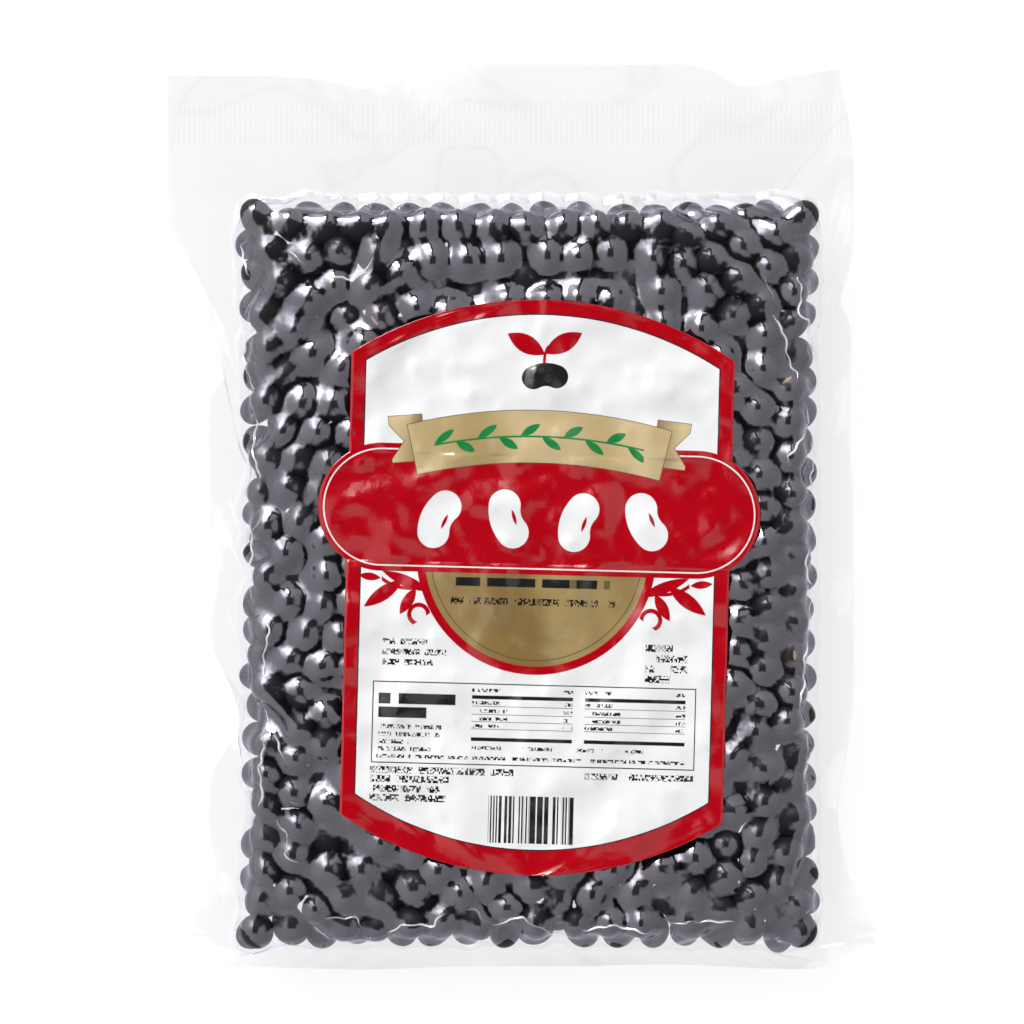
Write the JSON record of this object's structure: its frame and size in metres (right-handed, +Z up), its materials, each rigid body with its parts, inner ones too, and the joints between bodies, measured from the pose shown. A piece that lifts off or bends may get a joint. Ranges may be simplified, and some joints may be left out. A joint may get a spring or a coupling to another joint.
{
  "type": "vacuum bag of dried beans",
  "caption": "Clear vacuum-packed bag of black dried beans: a firm flat brick with every outer bean showing as a bump, thin film margins all round and a printed front label.",
  "frame": {"origin": "on the surface the bag lies on, at the middle of the bag's outline", "axes": "+Z up out of the labelled front, +Y towards the bag's loose upper end, +X to the label's right"},
  "size_m": [0.1689, 0.213, 0.0257],
  "materials": {
    "bag": "clear glossy film drawn tight over black beans",
    "label": "printed label, glossy",
    "film": "clear glossy film, wrinkled",
    "beans": "dried bean skin, semi-gloss"
  },
  "bodies": {
    "root": {"bag": "bag", "label": "label"}
  },
  "joints": []
}
